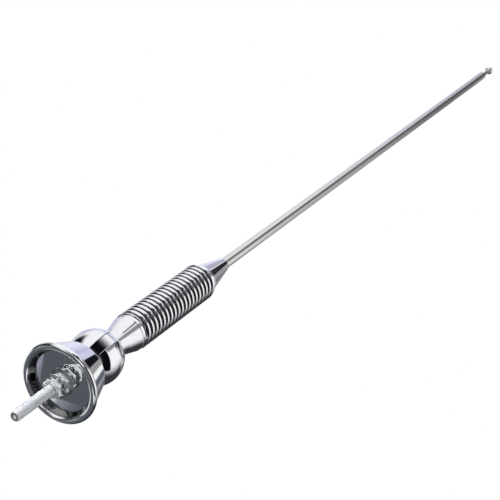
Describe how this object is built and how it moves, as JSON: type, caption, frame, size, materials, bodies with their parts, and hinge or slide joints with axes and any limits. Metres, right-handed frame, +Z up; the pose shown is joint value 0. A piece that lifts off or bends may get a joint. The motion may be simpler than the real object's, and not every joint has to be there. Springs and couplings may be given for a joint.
{
  "type": "car mast aerial",
  "caption": "Chrome car aerial: bell base on a threaded stud, slotted swivel ball, tilting foot, close-wound flex spring, cone ferrule and telescopic stainless mast with a tip ball",
  "frame": {"origin": "centre of the cup's rim, in the plane of its flat land, where the aerial sits on the car's body", "axes": "+Z up the mast, X along the axis of the ball's pivot screw with the screw's head at -X, Y across the slot"},
  "size_m": [0.038, 0.038, 0.5953],
  "materials": {
    "chrome": "bright chrome plate",
    "plate": "darker bright plate",
    "zinc_steel": "zinc-plated steel",
    "stainless": "polished stainless steel",
    "copper_braid": "bare copper braid",
    "contact_brass": "bare spring brass"
  },
  "bodies": {
    "base": {"base_cup": "chrome", "base_plate": "plate"},
    "ball": {"ball_yoke": "chrome", "mount_stud": "zinc_steel", "clamp_washer": "zinc_steel", "clamp_nut": "zinc_steel", "lock_washer": "zinc_steel", "flat_washer": "zinc_steel", "tooth_washer": "zinc_steel", "hex_nut": "zinc_steel", "pivot_screw": "zinc_steel"},
    "foot": {"swivel_foot": "chrome", "pivot_washers": "stainless", "coil_spring": "chrome", "inner_lead": "copper_braid"},
    "mast": {"spring_plug": "chrome", "upper_ferrule": "chrome", "outer_tube": "stainless"},
    "middle": {"middle_tube": "stainless", "middle_sleeve": "contact_brass"},
    "rod": {"inner_rod": "stainless", "rod_sleeve": "contact_brass", "tip_ball": "chrome"}
  },
  "joints": [
    {"name": "ball_turn", "type": "hinge", "parent": "base", "child": "ball", "pos_m": [0, 0, 0.0283], "axis": [0, 0, 1], "range_deg": [-180, 180]},
    {"name": "knuckle", "type": "hinge", "parent": "ball", "child": "foot", "pos_m": [0, 0, 0.0283], "axis": [1, 0, 0], "range_deg": [-90, 90]},
    {"name": "spring_flex", "type": "hinge", "parent": "foot", "child": "mast", "pos_m": [0, 0, 0.08687], "axis": [0, 1, 0], "range_deg": [-40, 40], "stiffness_Nm_per_rad": 2, "deforming": ["coil_spring", "inner_lead"]},
    {"name": "middle_slide", "type": "slide", "parent": "mast", "child": "middle", "axis": [0, 0, 1], "range_m": [0, 0.4]},
    {"name": "rod_slide", "type": "slide", "parent": "middle", "child": "rod", "axis": [0, 0, 1], "range_m": [0, 0.398]}
  ]
}
